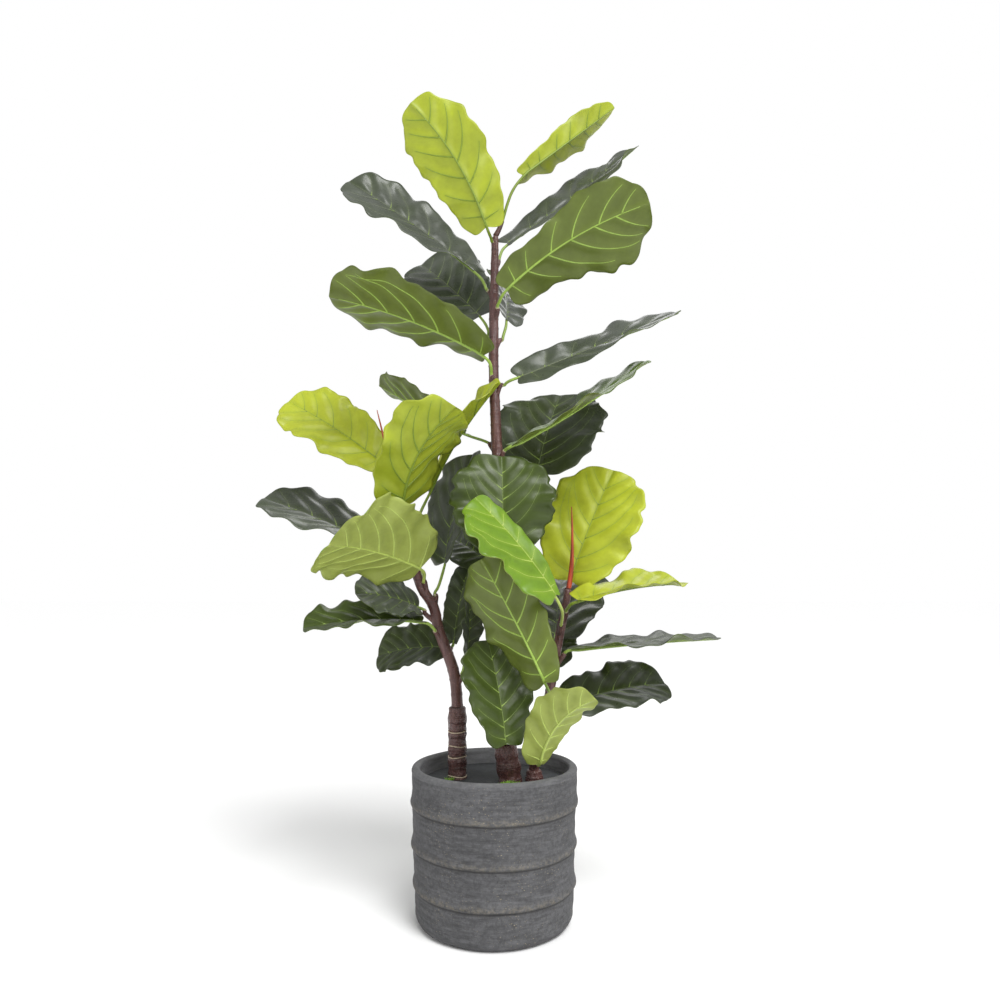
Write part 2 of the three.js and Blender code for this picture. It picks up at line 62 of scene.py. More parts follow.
class Shader:
    """A small helper for building one material's node tree."""

    def __init__(self, name):
        self.material = bpy.data.materials.new(name)
        self.material.use_nodes = True
        self.tree = self.material.node_tree
        self.body = self.tree.nodes["Principled BSDF"]
        self.place = self.node("ShaderNodeTexCoord").outputs["Object"]

    def node(self, kind, **values):
        made = self.tree.nodes.new(kind)
        for key, value in values.items():
            if hasattr(made, key):
                setattr(made, key, value)
            else:
                self.feed(made.inputs[key], value)
        return made

    def feed(self, socket, value):
        if isinstance(value, bpy.types.NodeSocket):
            self.tree.links.new(value, socket)
        else:
            socket.default_value = value

    def set(self, **values):
        for key, value in values.items():
            self.feed(self.body.inputs[key.replace("_", " ")], value)

    def scaled(self, x, y, z):
        made = self.node("ShaderNodeMapping")
        self.feed(made.inputs["Vector"], self.place)
        made.inputs["Scale"].default_value = (x, y, z)
        return made.outputs["Vector"]

    def noise(self, scale, detail=4.0, rough=0.6, vector=None):
        made = self.node("ShaderNodeTexNoise", Scale=scale, Detail=detail, Roughness=rough)
        self.feed(made.inputs["Vector"], vector or self.place)
        return made.outputs["Fac"]

    def cells(self, scale, feature="DISTANCE_TO_EDGE", vector=None):
        made = self.node("ShaderNodeTexVoronoi", Scale=scale, feature=feature)
        self.feed(made.inputs["Vector"], vector or self.place)
        return made.outputs["Distance"]

    def spread(self, value, low, high, to_low=0.0, to_high=1.0):
        made = self.node("ShaderNodeMapRange")
        for socket, number in zip(range(5), (value, low, high, to_low, to_high)):
            self.feed(made.inputs[socket], number)
        return made.outputs["Result"]

    def maths(self, operation, a, b=0.0):
        made = self.node("ShaderNodeMath", operation=operation)
        self.feed(made.inputs[0], a)
        self.feed(made.inputs[1], b)
        return made.outputs[0]

    def mix(self, share, a, b):
        made = self.node("ShaderNodeMix", data_type="RGBA")
        self.feed(made.inputs[0], share)
        self.feed(made.inputs[6], a)
        self.feed(made.inputs[7], b)
        return made.outputs[2]

    def attribute(self, name):
        return self.node("ShaderNodeAttribute", attribute_name=name).outputs["Fac"]

    def bump(self, height, distance, strength=1.0):
        made = self.node("ShaderNodeBump", Strength=strength, Distance=distance)
        self.feed(made.inputs["Height"], height)
        self.feed(self.body.inputs["Normal"], made.outputs["Normal"])


# ------------------------------------------------------------------ materials
def shade(colour, factor):
    """An sRGB colour made darker or lighter, as linear RGBA."""
    return linear(*[min(255, factor * channel) for channel in colour])


def blade_material(name, base, light, rough, grey=None):
    """One face of a blade: mottled, with its own colour beside the veins (paler for most tones, darker for
    the light tone as painted shade), with a leathery grain.
    """
    s = Shader(name)
    broad = s.spread(s.noise(22.0, 3.0), 0.35, 0.68)
    fine = s.spread(s.noise(110.0, 2.0), 0.3, 0.75, 0.0, 0.2)
    near = s.maths("MULTIPLY", s.attribute("near"), 0.35)
    colour = s.mix(s.maths("MULTIPLY", broad, 0.5), linear(*base), shade(base, 0.8))
    colour = s.mix(fine, colour, shade(base, 1.18))
    # The colour beside the veins; for the light tone it is painted shade in the hollows along them.
    colour = s.mix(near, colour, linear(*light))
    if grey:
        # The grey patches are painted sheen, a reflection painted into the top's colour.
        patches = s.spread(s.noise(9.0, 2.0), 0.42, 0.68, 0.05, 0.6)
        colour = s.mix(patches, colour, linear(*grey))
    s.set(Base_Color=colour)
    s.set(Roughness=s.spread(s.noise(60.0, 3.0), 0.3, 0.7, rough - 0.07, rough + 0.1))
    s.set(Specular_IOR_Level=0.36)
    s.bump(s.noise(70.0, 2.0), 0.0004, 0.16)
    return s.material


def vein_material(name, colour, rough=0.42):
    """A vein, thread or collar: one colour, a little mottled."""
    s = Shader(name)
    tint = s.spread(s.noise(120.0, 2.0), 0.35, 0.7, 0.0, 0.6)
    s.set(Base_Color=s.mix(tint, linear(*colour), shade(colour, 0.84)), Roughness=rough)
    s.bump(s.noise(500.0, 2.0), 0.0002, 0.4)
    return s.material


def bark_material(name, base, pale, rough, lumps=0.0):
    """Moulded bark: streaks up the trunk toward a pale purple-grey that is partly its streaky colour and
    partly painted sheen, faint rings, lumps and a waxy gloss.
    """
    s = Shader(name)
    streaks = s.spread(s.noise(26.0, 5.0, 0.7, s.scaled(6.0, 6.0, 0.8)), 0.42, 0.72)
    rings = s.spread(s.noise(30.0, 4.0, 0.6, s.scaled(0.5, 0.5, 6.0)), 0.55, 0.7)
    # Streaks toward the pale colour: streaky bark and painted sheen along the trunk.
    colour = s.mix(s.maths("MULTIPLY", streaks, 0.6), linear(*base), linear(*pale))
    colour = s.mix(s.maths("MULTIPLY", rings, 0.5), colour, shade(base, 0.5))
    dots = s.spread(s.cells(330.0, "F1"), 0.1, 0.22, 0.5, 0.0)
    colour = s.mix(dots, colour, shade(pale, 1.5))
    s.set(Base_Color=colour, Specular_IOR_Level=0.6)
    s.set(Roughness=s.spread(s.noise(90.0), 0.3, 0.7, rough, rough + 0.2))
    knobbly = s.maths("MULTIPLY", s.noise(110.0, 3.0), lumps)
    depth = 0.0015 if lumps else 0.0007
    s.bump(s.maths("ADD", s.maths("ADD", streaks, rings), knobbly), depth, 0.7)
    return s.material


def clay_material(name, base, tan, streak_scale, speck_share, crest=False):
    """Brushed fibre clay with tan specks and small pits. crest adds the pot's worn ring crests, painted
    shadow under the rings, and painted light on the rim and inside wall.
    """
    s = Shader(name)
    clouds = s.spread(s.noise(9.0, 5.0, 0.65), 0.3, 0.7)
    streaks = s.noise(24.0, 6.0, 0.75, s.scaled(*streak_scale))
    colour = s.mix(s.spread(streaks, 0.36, 0.66), shade(base, 0.66), shade(base, 1.12))
    colour = s.mix(s.maths("MULTIPLY", clouds, 0.4), colour, shade(base, 1.16))
    mottle = s.spread(s.noise(170.0, 4.0, 0.75), 0.45, 0.62, 0.0, 0.45)
    colour = s.mix(mottle, colour, shade(base, 0.6))
    patches = s.spread(s.noise(22.0, 3.0), 0.46, 0.64)
    flecks = s.cells(230.0, "F1", s.scaled(1.0, 1.0, 1.6))
    flecks = s.maths("ADD", flecks, s.spread(s.noise(420.0, 2.0), 0.3, 0.7, -0.08, 0.12))
    specks = s.maths("MULTIPLY", s.spread(flecks, 0.08, 0.22, 1.0, 0.0), patches)
    colour = s.mix(s.maths("MULTIPLY", specks, speck_share), colour, linear(*tan))
    # The pits are painted dark: painted shade inside them.
    holes = s.spread(s.cells(150.0, "F1"), 0.05, 0.14, 1.0, 0.0)
    pits = s.maths("MULTIPLY", holes, s.spread(s.noise(16.0), 0.5, 0.6))
    colour = s.mix(s.maths("MULTIPLY", pits, 0.75), colour, shade(base, 0.45))
    if crest:
        worn = s.maths("MULTIPLY", s.attribute("crest"), s.spread(s.noise(190.0, 4.0, 0.7), 0.42, 0.62))
        colour = s.mix(s.maths("MULTIPLY", worn, 0.22), colour, linear(*tan))
        # groove is painted shadow: a dark line under each raised ring's sharp lower side.
        dark = s.maths("MULTIPLY", s.attribute("groove"), 0.75)
        colour = s.mix(dark, colour, shade(base, 0.42))
        # pale is painted light on the rim's top and the inside wall.
        painted_light = s.maths("MULTIPLY", s.attribute("pale"), s.spread(streaks, 0.3, 0.7, 0.35, 0.8))
        colour = s.mix(painted_light, colour, shade(base, 1.55))
    s.set(Base_Color=colour, Roughness=s.spread(streaks, 0.3, 0.7, 0.72, 0.92), Specular_IOR_Level=0.35)
    grain = s.maths("ADD", streaks, s.noise(300.0, 3.0))
    s.bump(s.maths("SUBTRACT", grain, s.maths("MULTIPLY", pits, 2.0)), 0.0011, 0.7)
    return s.material


# Each tone of leaf: a face's colour, the colour beside its veins and its roughness. For the light tone the
# colour beside the veins is darker: painted shade in the hollows along the veins.
TOP_TONES = {
    "dark": ((56, 66, 32), (84, 100, 46), 0.33),
    "mid": ((80, 102, 40), (108, 130, 54), 0.38),
    "bright": ((104, 138, 34), (140, 168, 50), 0.36),
    "light": ((170, 180, 46), (146, 164, 48), 0.38),
    "olive": ((58, 72, 24), (80, 98, 34), 0.36),
    # grey: a greyer, paler copy of the dark top, painted sheen for leaves seen at grazing angles.
    "grey": ((68, 76, 58), (84, 94, 64), 0.28),
}
UNDER_TONES = {
    "dark": ((82, 96, 40), (106, 126, 54), 0.44),
    "mid": ((94, 107, 42), (118, 135, 58), 0.4),
    "bright": ((146, 158, 74), (172, 184, 98), 0.44),
    "light": ((160, 172, 46), (132, 152, 44), 0.42),
    "olive": ((84, 98, 40), (106, 126, 54), 0.44),
    "grey": ((84, 98, 46), (106, 126, 58), 0.44),
}
# Painted sheen: grey patches on the tops of two tones, standing in for the white surroundings reflected at
# grazing angles.
PAINTED_SHEENS = {"dark": (86, 90, 88), "grey": (92, 94, 92)}
# Raised ribs below the blade and fine lines above it.
RIB_TONES = {
    "dark": (146, 172, 76),
    "mid": (156, 186, 80),
    "bright": (182, 200, 100),
    "light": (128, 150, 46),
    "olive": (146, 172, 76),
    "grey": (146, 172, 76),
}
LINE_TONES = {
    "dark": (108, 122, 76),
    "mid": (140, 160, 78),
    "bright": (168, 190, 90),
    "light": (134, 154, 56),
    "olive": (108, 126, 62),
    "grey": (112, 120, 92),
}
TOPS = {tone: blade_material(f"blade_{tone}_top", *row, PAINTED_SHEENS.get(tone)) for tone, row in TOP_TONES.items()}
UNDERS = {tone: blade_material(f"blade_{tone}_under", *row) for tone, row in UNDER_TONES.items()}
RIBS = {tone: vein_material(f"rib_{tone}", colour) for tone, colour in RIB_TONES.items()}
LINES = {tone: vein_material(f"line_{tone}", colour) for tone, colour in LINE_TONES.items()}
BARK = bark_material("bark_stem", (78, 46, 43), (128, 92, 86), 0.26)
BARK_BASE = bark_material("bark_base", (84, 54, 51), (122, 86, 80), 0.16, 3.0)
THREAD = vein_material("ring_thread", (206, 188, 164), 0.7)
COLLAR = vein_material("petiole_collar", (196, 190, 150), 0.6)
POT_CLAY = clay_material("pot_clay", (88, 88, 90), (164, 152, 126), (1.2, 1.2, 9.0), 0.75, crest=True)
DISC_GREY = clay_material("cover_disc", (62, 64, 67), (96, 94, 88), (3.0, 3.0, 1.0), 0.25)
FILLER = clay_material("filler", (74, 60, 46), (120, 100, 76), (1.0, 1.0, 1.0), 0.4)


def bud_material():
    """Red-brown, streaked along the bud."""
    s = Shader("bud_red")
    streaks = s.spread(s.noise(40.0, 3.0, 0.6, s.scaled(5.0, 5.0, 0.5)), 0.35, 0.7)
    s.set(Base_Color=s.mix(streaks, linear(188, 74, 40), linear(120, 48, 34)), Roughness=0.36)
    s.bump(streaks, 0.0005, 0.6)
    return s.material


def moss_material():
    """Bright matt green, lighter in places."""
    s = Shader("moss")
    patches = s.spread(s.noise(300.0), 0.35, 0.7)
    s.set(Base_Color=s.mix(patches, linear(92, 138, 38), linear(140, 176, 62)), Roughness=0.9)
    return s.material


BUD = bud_material()
MOSS = moss_material()


# ------------------------------------------------------------------ mesh helpers
class Build:
    """Collects vertices and faces with material numbers, then makes one object of them."""

    def __init__(self):
        self.points, self.faces, self.kinds, self.values = [], [], [], {}
        self.count = 0

    def add(self, points, faces, kind=0, **values):
        points = np.asarray(points, float)
        self.points.append(points)
        self.faces += [[self.count + i for i in face] for face in faces]
        self.kinds += [kind] * len(faces) if isinstance(kind, int) else list(kind)
        for key in values:
            self.values.setdefault(key, [np.zeros(self.count)])
        for key, parts in self.values.items():
            given = values.get(key)
            parts.append(np.zeros(len(points)) if given is None else np.asarray(given, float))
        self.count += len(points)

    def finish(self, name, node, materials):
        """Makes the object, which stands for the CAD node."""
        mesh = bpy.data.meshes.new(name)
        mesh.from_pydata(np.concatenate(self.points).tolist(), [], self.faces)
        for material in materials:
            mesh.materials.append(material)
        mesh.polygons.foreach_set("material_index", self.kinds)
        mesh.polygons.foreach_set("use_smooth", [True] * len(self.faces))
        for key, parts in self.values.items():
            field = mesh.attributes.new(key, "FLOAT", "POINT")
            field.data.foreach_set("value", np.concatenate(parts).astype(np.float32))
        mesh.update()
        made = bpy.data.objects.new(name, mesh)
        bpy.context.scene.collection.objects.link(made)
        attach(made, "root")
        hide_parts(node)


def unit(v):
    """The vector, or each row of vectors, at unit length."""
    v = np.asarray(v, float)
    return v / np.maximum(np.linalg.norm(v, axis=-1, keepdims=True), 1e-12)


def smooth_path(points, count):
    """Points on a smooth curve through the given ones, at equal steps of their running length."""
    points = np.asarray(points, float)
    knots = np.concatenate([[0], np.cumsum(np.linalg.norm(np.diff(points, axis=0), axis=1))])
    return hermite(knots, points, np.linspace(0, knots[-1], count))


def hermite(knots, values, at):
    """Smooth interpolation of rows of values, with slopes from their neighbours."""
    knots, values, at = np.asarray(knots, float), np.asarray(values, float), np.asarray(at, float)
    slopes = np.gradient(values, knots, axis=0)
    i = np.clip(np.searchsorted(knots, at, side="right") - 1, 0, len(knots) - 2)
    step = knots[i + 1] - knots[i]
    t = (at - knots[i]) / step
    shape = (-1,) + (1,) * (values.ndim - 1)
    t, step = t.reshape(shape), step.reshape(shape)
    return (
        (2 * t**3 - 3 * t**2 + 1) * values[i]
        + (t**3 - 2 * t**2 + t) * step * slopes[i]
        + (-2 * t**3 + 3 * t**2) * values[i + 1]
        + (t**3 - t**2) * step * slopes[i + 1]
    )


def tube(path, radii, sides=10, dent=None):
    """Points and faces of a round tube, closed at both ends. dent(i, angle) may change a radius."""
    path = np.asarray(path, float)
    tangents = unit(np.gradient(path, axis=0))
    across = np.cross([0.0, 1.0, 0.0], tangents[0])
    if np.linalg.norm(across) < 1e-3:
        across = np.cross([1.0, 0.0, 0.0], tangents[0])
    angles = np.linspace(0, 2 * np.pi, sides, endpoint=False)
    points = []
    for i, (middle, tangent) in enumerate(zip(path, tangents)):
        across = unit(across - np.dot(across, tangent) * tangent)
        up = np.cross(tangent, across)
        for angle in angles:
            reach = radii[i] * (1 if dent is None else dent(i, angle))
            points.append(middle + reach * (math.cos(angle) * across + math.sin(angle) * up))
    rows = len(path)
    faces = []
    for i in range(rows - 1):
        for k in range(sides):
            a, b = i * sides + k, i * sides + (k + 1) % sides
            faces.append([a, b, b + sides, a + sides])
    faces.append(list(range(sides))[::-1])
    faces.append([(rows - 1) * sides + k for k in range(sides)])
    return points, faces


def lathe(profile, sides, wobble=None):
    """Points and faces of a body turned about Z from (radius, height) rows that start and end on the axis."""
    profile = np.asarray(profile, float)
    angles = np.linspace(0, 2 * np.pi, sides, endpoint=False)
    points = [[0, 0, profile[0][1]]]
    for r, z in profile[1:-1]:
        shift = 0 if wobble is None else wobble(z, angles)
        x, y = (r + shift) * np.cos(angles), (r + shift) * np.sin(angles)
        points += np.column_stack([x, y, np.full(sides, z)]).tolist()
    points.append([0, 0, profile[-1][1]])
    rows, last = len(profile) - 2, len(points) - 1
    faces = [[0, 1 + (k + 1) % sides, 1 + k] for k in range(sides)]
    for i in range(rows - 1):
        for k in range(sides):
            a, b = 1 + i * sides + k, 1 + i * sides + (k + 1) % sides
            faces.append([a, b, b + sides, a + sides])
    top = 1 + (rows - 1) * sides
    faces += [[last, top + k, top + (k + 1) % sides] for k in range(sides)]
    return points, faces


# ------------------------------------------------------------------ reading a leaf's frame
# Where the CAD blade has its sections, from its foot at 0 to its tip at 1.
STATIONS = np.array([0, 0.04, 0.12, 0.25, 0.39, 0.54, 0.69, 0.82, 0.93, 1])
INNER = STATIONS[1:-1]
CORNERS = 8                 # points in each section
PETIOLE_RINGS = 4           # round sections before the blade's
RIB_RISE = 0.7 * MM         # how far the midrib's line stands above the blade's middle, at the foot


def leaf_rings(node):
    """The end of the CAD leaf's petiole, and the leaf's sections from there to its tip."""
    mesh = node.data
    raw = np.array([v.co for v in mesh.vertices])
    keys, inverse = np.unique(np.round(raw / 2e-6).astype(np.int64), axis=0, return_inverse=True)
    inverse = inverse.reshape(-1)
    points = np.zeros((len(keys), 3))
    points[inverse] = raw
    linked = [set() for _ in keys]
    for polygon in mesh.polygons:
        corners = [int(inverse[i]) for i in polygon.vertices]
        for a in corners:
            linked[a].update(b for b in corners if b != a)
    # Both ends are a single point. From the petiole's, the sections come one ring of neighbours at a time.
    sections = PETIOLE_RINGS + len(STATIONS)
    best = None
    for start in (i for i, others in enumerate(linked) if len(others) == CORNERS):
        rings, seen = [], {start}
        front = [start]
        while front:
            front = sorted({b for a in front for b in linked[a]} - seen)
            seen.update(front)
            if front:
                rings.append(points[front])
        if len(rings) == sections + 1 and all(len(ring) == CORNERS for ring in rings[:sections]):
            reach = np.ptp(rings[2], axis=0).max()
            if best is None or reach < best[0]:
                best = (reach, points[start], rings)
    if best is None:
        raise RuntimeError(f"{node.name} isn't the expected leaf")
    return best[1], best[2][:sections]


def read_section(ring, tangent):
    """A blade section's five points from margin to margin, its normal, and how far its top is along that."""
    gaps = np.linalg.norm(ring[:, None] - ring[None], axis=2)
    a, b = np.unravel_index(gaps.argmax(), gaps.shape)
    chord = unit(ring[b] - ring[a])
    rest = [k for k in range(CORNERS) if k not in (a, b)]
    rest.sort(key=lambda k: float(np.dot(ring[k] - ring[a], chord)))
    upper = (ring[rest[1]] + ring[rest[4]]) / 2
    under = (ring[rest[0]] + ring[rest[5]]) / 2
    normal = unit(np.cross(chord, tangent))
    near_left, near_right = (ring[rest[0]] + ring[rest[1]]) / 2, (ring[rest[4]] + ring[rest[5]]) / 2
    middle = ring[rest[2]] / 2 + ring[rest[3]] / 2
    return [ring[a], near_left, middle, near_right, ring[b]], normal, float(np.dot(upper - under, normal))


def leaf_frame(node):
    """Petiole points, the midrib at every station, and the inner ones' reach to both margins and halves."""
    start, rings = leaf_rings(node)
    petiole = [start] + [ring.mean(0) for ring in rings[:PETIOLE_RINGS]]
    blade = rings[PETIOLE_RINGS:]
    centres = np.array([ring.mean(0) for ring in blade])
    tangents = unit(np.gradient(centres, axis=0))
    sections = [read_section(ring, tangent) for ring, tangent in zip(blade[1:-1], tangents[1:-1])]

    # All sections are read from the same side as the fifth, and then with their tops up.
    widest = sections[4][0]
    turned = [np.dot(points[-1] - points[0], widest[-1] - widest[0]) < 0 for points, _, _ in sections]
    upside_down = sum(-score if back else score for (_, _, score), back in zip(sections, turned)) < 0
    middles, reaches = [centres[0]], []
    for station, (points, normal, _), back in zip(INNER, sections, turned):
        if back != upside_down:
            points, normal = points[::-1], -normal
        left, near_left, middle, near_right, right = points
        middles.append(middle + normal * (RIB_RISE * (1 - 0.7 * station)))
        reaches.append([left - middle, near_left - middle, near_right - middle, right - middle])
    middles.append(centres[-1])
    return petiole, np.array(middles), np.array(reaches)


# ------------------------------------------------------------------ building a leaf
ROWS, COLUMNS = 84, 34
SKIN = 0.55 * MM            # half the blade's thickness
VEIN_STARTS = (0.03, 0.15, 0.31, 0.48, 0.64, 0.79)
VEIN_STEP = 3.0             # mm
VEIN_REACH = 0.82           # share of the half's width
SWELL = 2.8                 # mm that the blade rises between its veins
GROOVE = 0.9                # mm that it sinks along its midrib
WAVE = 4.6                  # mm, at most, that its margin waves
TOP_FACE, UNDER_FACE, RIB_PART, COLLAR_PART, LINE_PART = range(5)


def taper(t):
    """Rounds the blade's foot and tip."""
    return np.sqrt(t / (t + 0.03)) * np.sqrt((1 - t) / (1 - t + 0.045))


def vein_lines(length, half, seed):
    """Lateral veins as runs of (across in mm, along in mm) on the flat blade."""
    shuffle = np.random.default_rng(seed)
    lines = []
    for side in (-1, 1):
        for i, share in enumerate(VEIN_STARTS):
            along = (share + shuffle.uniform(-0.02, 0.02) + 0.03 * (side > 0)) * length
            lowest = 10 if i == 0 else 0
            angle = math.radians(63 - 16 * share + lowest + shuffle.uniform(-2, 2))
            bend = math.radians(shuffle.uniform(1.1, 1.5))
            across = 0.0
            run = [(0.0, along)]
            while len(run) < 60:
                across += VEIN_STEP * math.sin(angle)
                along += VEIN_STEP * math.cos(angle)
                angle -= bend
                t = along / length
                if t > 0.97 or across > VEIN_REACH * half(t, side):
                    break
                run.append((side * across, along))
            if len(run) > 3:
                lines.append(np.array(run))
    return lines


def face_normals(grid):
    """Normals of a grid of points, not yet of unit length: its columns' way across its rows' way."""
    return np.cross(np.gradient(grid, axis=1), np.gradient(grid, axis=0))


class Blade:
    """A blade as a grid of points and normals, its rows from foot to tip and its columns across."""

    def __init__(self, middles, reaches, seed):
        phase = np.random.default_rng(seed).uniform(0, 6.28, 6)
        t = 0.5 - 0.5 * np.cos(np.linspace(0, np.pi, ROWS))
        t = 0.6 * t + 0.4 * np.linspace(0, 1, ROWS)
        u = np.linspace(-1, 1, COLUMNS)
        u = np.sign(u) * (0.75 * np.abs(u) + 0.25 * np.abs(u) ** 2)
        self.t, self.u = t, u

        axis = hermite(STATIONS, middles, t)
        spans = hermite(INNER, reaches / taper(INNER)[:, None, None], np.clip(t, INNER[0], INNER[-1]))
        spans = spans * taper(t)[:, None, None]
        self.length = np.linalg.norm(np.diff(axis, axis=0), axis=1).sum() / MM
        self.scallop(spans, phase)
        self.half_left = np.linalg.norm(spans[:, 0], axis=1) / MM
        self.half_right = np.linalg.norm(spans[:, 3], axis=1) / MM
        self.curve_across(axis, spans)
        self.lines = vein_lines(self.length, self.half, seed)
        self.measure_veins()
        self.add_relief(phase)

    def scallop(self, spans, phase):
        """Scalloped margins, with one lobe between each pair of veins."""
        t = self.t
        for k, column in ((0, 0), (1, 0), (2, 1), (3, 1)):
            lobes = 1 + 0.055 * np.sin(2 * np.pi * 4.3 * t + phase[column]) * (0.4 + 0.6 * t)
            lobes += 0.022 * np.sin(2 * np.pi * 8.7 * t + phase[4 + column])
            spans[:, k] *= lobes[:, None]

    def half(self, at, side):
        """The width in mm of one half of the blade at a share of its length."""
        return float(np.interp(at, self.t, self.half_right if side > 0 else self.half_left))

    def curve_across(self, axis, spans):
        """Each row is a curve through the midrib, the middle of the half and the margin."""
        grid = np.zeros((ROWS, COLUMNS, 3))
        for j, across in enumerate(self.u):
            outer, near = (spans[:, 0], spans[:, 1]) if across < 0 else (spans[:, 3], spans[:, 2])
            s = abs(across)
            grid[:, j] = axis + near * (4 * s * (1 - s)) + outer * (s * (2 * s - 1))
        normal = unit(face_normals(grid))
        row = ROWS // 2
        up = np.cross(spans[row, 3] - spans[row, 0], axis[row + 1] - axis[row])
        self.grid = grid
        self.normal = -normal if np.dot(normal[row, COLUMNS // 2], up) < 0 else normal

    def measure_veins(self):
        """The distance in mm from every point to its nearest lateral vein and to the midrib."""
        self.widths = np.where(self.u[None] < 0, self.half_left[:, None], self.half_right[:, None])
        flat = np.zeros((ROWS, COLUMNS, 2))
        flat[..., 0] = self.widths * self.u[None]
        flat[..., 1] = self.t[:, None] * self.length
        self.to_vein = np.full((ROWS, COLUMNS), 99.0)
        for run in self.lines:
            for a, b in zip(run[:-1], run[1:]):
                way = b - a
                share = np.clip(((flat - a) @ way) / (way @ way), 0, 1)
                gap = np.linalg.norm(flat - (a + share[..., None] * way), axis=2)
                self.to_vein = np.minimum(self.to_vein, gap)
        self.to_rib = np.abs(flat[..., 0])

    def add_relief(self, phase):
        """The blade swells between its veins, sinks at its midrib, and its margin waves."""
        t, u = self.t, self.u
        swell = SWELL * (1 - np.exp(-((self.to_vein / 9.0) ** 2))) * (1 - np.exp(-((self.to_rib / 6.0) ** 2)))
        swell *= np.clip(1.3 - np.abs(u)[None] ** 3, 0, 1)
        swell *= np.clip(self.widths / 40, 0, 1)
        wave = np.zeros_like(swell)
        for column, sign, reach in ((0, -1, self.half_left), (1, 1, self.half_right)):
            beat = np.sin(2 * np.pi * 2.7 * t + phase[2 + column])
            beat += 0.7 * np.sin(2 * np.pi * 5.2 * t + phase[4 + column])
            mask = (np.sign(u) == sign)[None] * np.abs(u)[None] ** 2.5
            wave += beat[:, None] * mask * np.minimum(WAVE, 0.075 * reach)[:, None]
        groove = -GROOVE * np.exp(-((self.to_rib / 2.6) ** 2))
        self.grid = self.grid + self.normal * ((swell + wave + groove) * MM)[..., None]
        turned = face_normals(self.grid)
        self.normal = unit(turned * np.sign(np.sum(turned * self.normal, axis=2))[..., None])

    def place(self, run, lift):
        """Points on the curved blade at flat places (across, along) in mm, lifted along its normal."""
        made = []
        for across, along in run:
            at = along / self.length
            side = np.clip(across / max(self.half(at, across), 1e-3), -1, 1)
            row = np.interp(at, self.t, np.arange(ROWS))
            column = np.interp(side, self.u, np.arange(COLUMNS))
            i, j = min(int(row), ROWS - 2), min(int(column), COLUMNS - 2)
            p, q = row - i, column - j
            weights = ((1 - p) * (1 - q), (1 - p) * q, p * (1 - q), p * q)
            corners = ((i, j), (i, j + 1), (i + 1, j), (i + 1, j + 1))
            point = sum(w * self.grid[c] for w, c in zip(weights, corners))
            up = unit(sum(w * self.normal[c] for w, c in zip(weights, corners)))
            made.append(point + up * lift)
        return np.array(made)

    def along_rib(self, shares, lift):
        """Points on the midrib's line at shares of the blade's length."""
        return self.place([(0.0, share * self.length) for share in shares], lift)


def add_skin(build, blade):
    """The blade's top, underside and edge as one closed skin."""
    grid, normal, u = blade.grid, blade.normal, blade.u
    thick = SKIN * (0.6 + 0.4 * (1 - np.abs(u)[None] ** 4)) * (0.75 + 0.25 * taper(blade.t))[:, None]
    top, under = grid + normal * thick[..., None], grid - normal * thick[..., None]
    near = np.exp(-((blade.to_vein / 3.6) ** 2)) + np.exp(-((blade.to_rib / 4.5) ** 2))
    near = np.clip(near, 0, 1).ravel()

    row, column = ROWS // 2, COLUMNS // 2
    turn = np.cross(grid[row, column + 1] - grid[row, column], grid[row + 1, column] - grid[row, column])
    flip = np.dot(turn, normal[row, column]) < 0
    size = ROWS * COLUMNS
    faces, kinds = [], []
    for i in range(ROWS - 1):
        for j in range(COLUMNS - 1):
            a = i * COLUMNS + j
            quad = [a, a + 1, a + COLUMNS + 1, a + COLUMNS]
            faces.append(quad[::-1] if flip else quad)
            faces.append([size + k for k in (quad if flip else quad[::-1])])
            kinds += [TOP_FACE, UNDER_FACE]
    rim = [j for j in range(COLUMNS)]
    rim += [i * COLUMNS + COLUMNS - 1 for i in range(1, ROWS)]
    rim += [(ROWS - 1) * COLUMNS + j for j in range(COLUMNS - 2, -1, -1)]
    rim += [i * COLUMNS for i in range(ROWS - 2, 0, -1)]
    for a, b in zip(rim, rim[1:] + rim[:1]):
        quad = [a, b, size + b, size + a]
        faces.append(quad if flip else quad[::-1])
        kinds.append(UNDER_FACE)
    points = np.concatenate([top.reshape(-1, 3), under.reshape(-1, 3)])
    build.add(points, faces, kinds, near=np.concatenate([near, near]))


def add_veins(build, blade):
    """Each lateral vein is a tapered rib below the blade and a fine line above it."""
    for run in blade.lines:
        share = np.linspace(0, 1, len(run))
        build.add(*tube(blade.place(run, -SKIN * 0.8), (1.35 - 1.0 * share) * MM, 8), RIB_PART)
        build.add(*tube(blade.place(run, SKIN - 0.2 * MM), (0.5 - 0.22 * share) * MM, 6), LINE_PART)


def add_midrib(build, blade, petiole):
    """The petiole runs on under the blade as the midrib, with a fine line above it."""
    rib_at = np.linspace(0.0, 0.965, 40)
    rib = blade.along_rib(rib_at, 0)
    down = unit(blade.along_rib(rib_at, -1 * MM) - rib)
    rib_radius = (2.0 - 1.55 * rib_at ** 0.8) * MM
    rib = rib + down * (rib_radius * 0.75 + SKIN * 0.4)[:, None]
    stem = smooth_path(petiole[:4], 16)
    whole = smooth_path(np.concatenate([stem[:-1:3], rib[2::3]]), 90)
    run_length = np.concatenate([[0], np.cumsum(np.linalg.norm(np.diff(whole, axis=0), axis=1))])
    stem_length = np.linalg.norm(np.diff(stem, axis=0), axis=1).sum()
    share = np.clip((run_length - stem_length) / max(run_length[-1] - stem_length, 1e-6), 0, 1)
    radii = (2.4 - 1.85 * share ** 0.8) * MM
    radii[:2] = 2.6 * MM
    build.add(*tube(whole, radii, 10), RIB_PART)
    surface = blade.along_rib(np.linspace(0.01, 0.95, 40), SKIN - 0.3 * MM)
    build.add(*tube(surface, np.linspace(0.95, 0.4, 40) * MM, 6), LINE_PART)


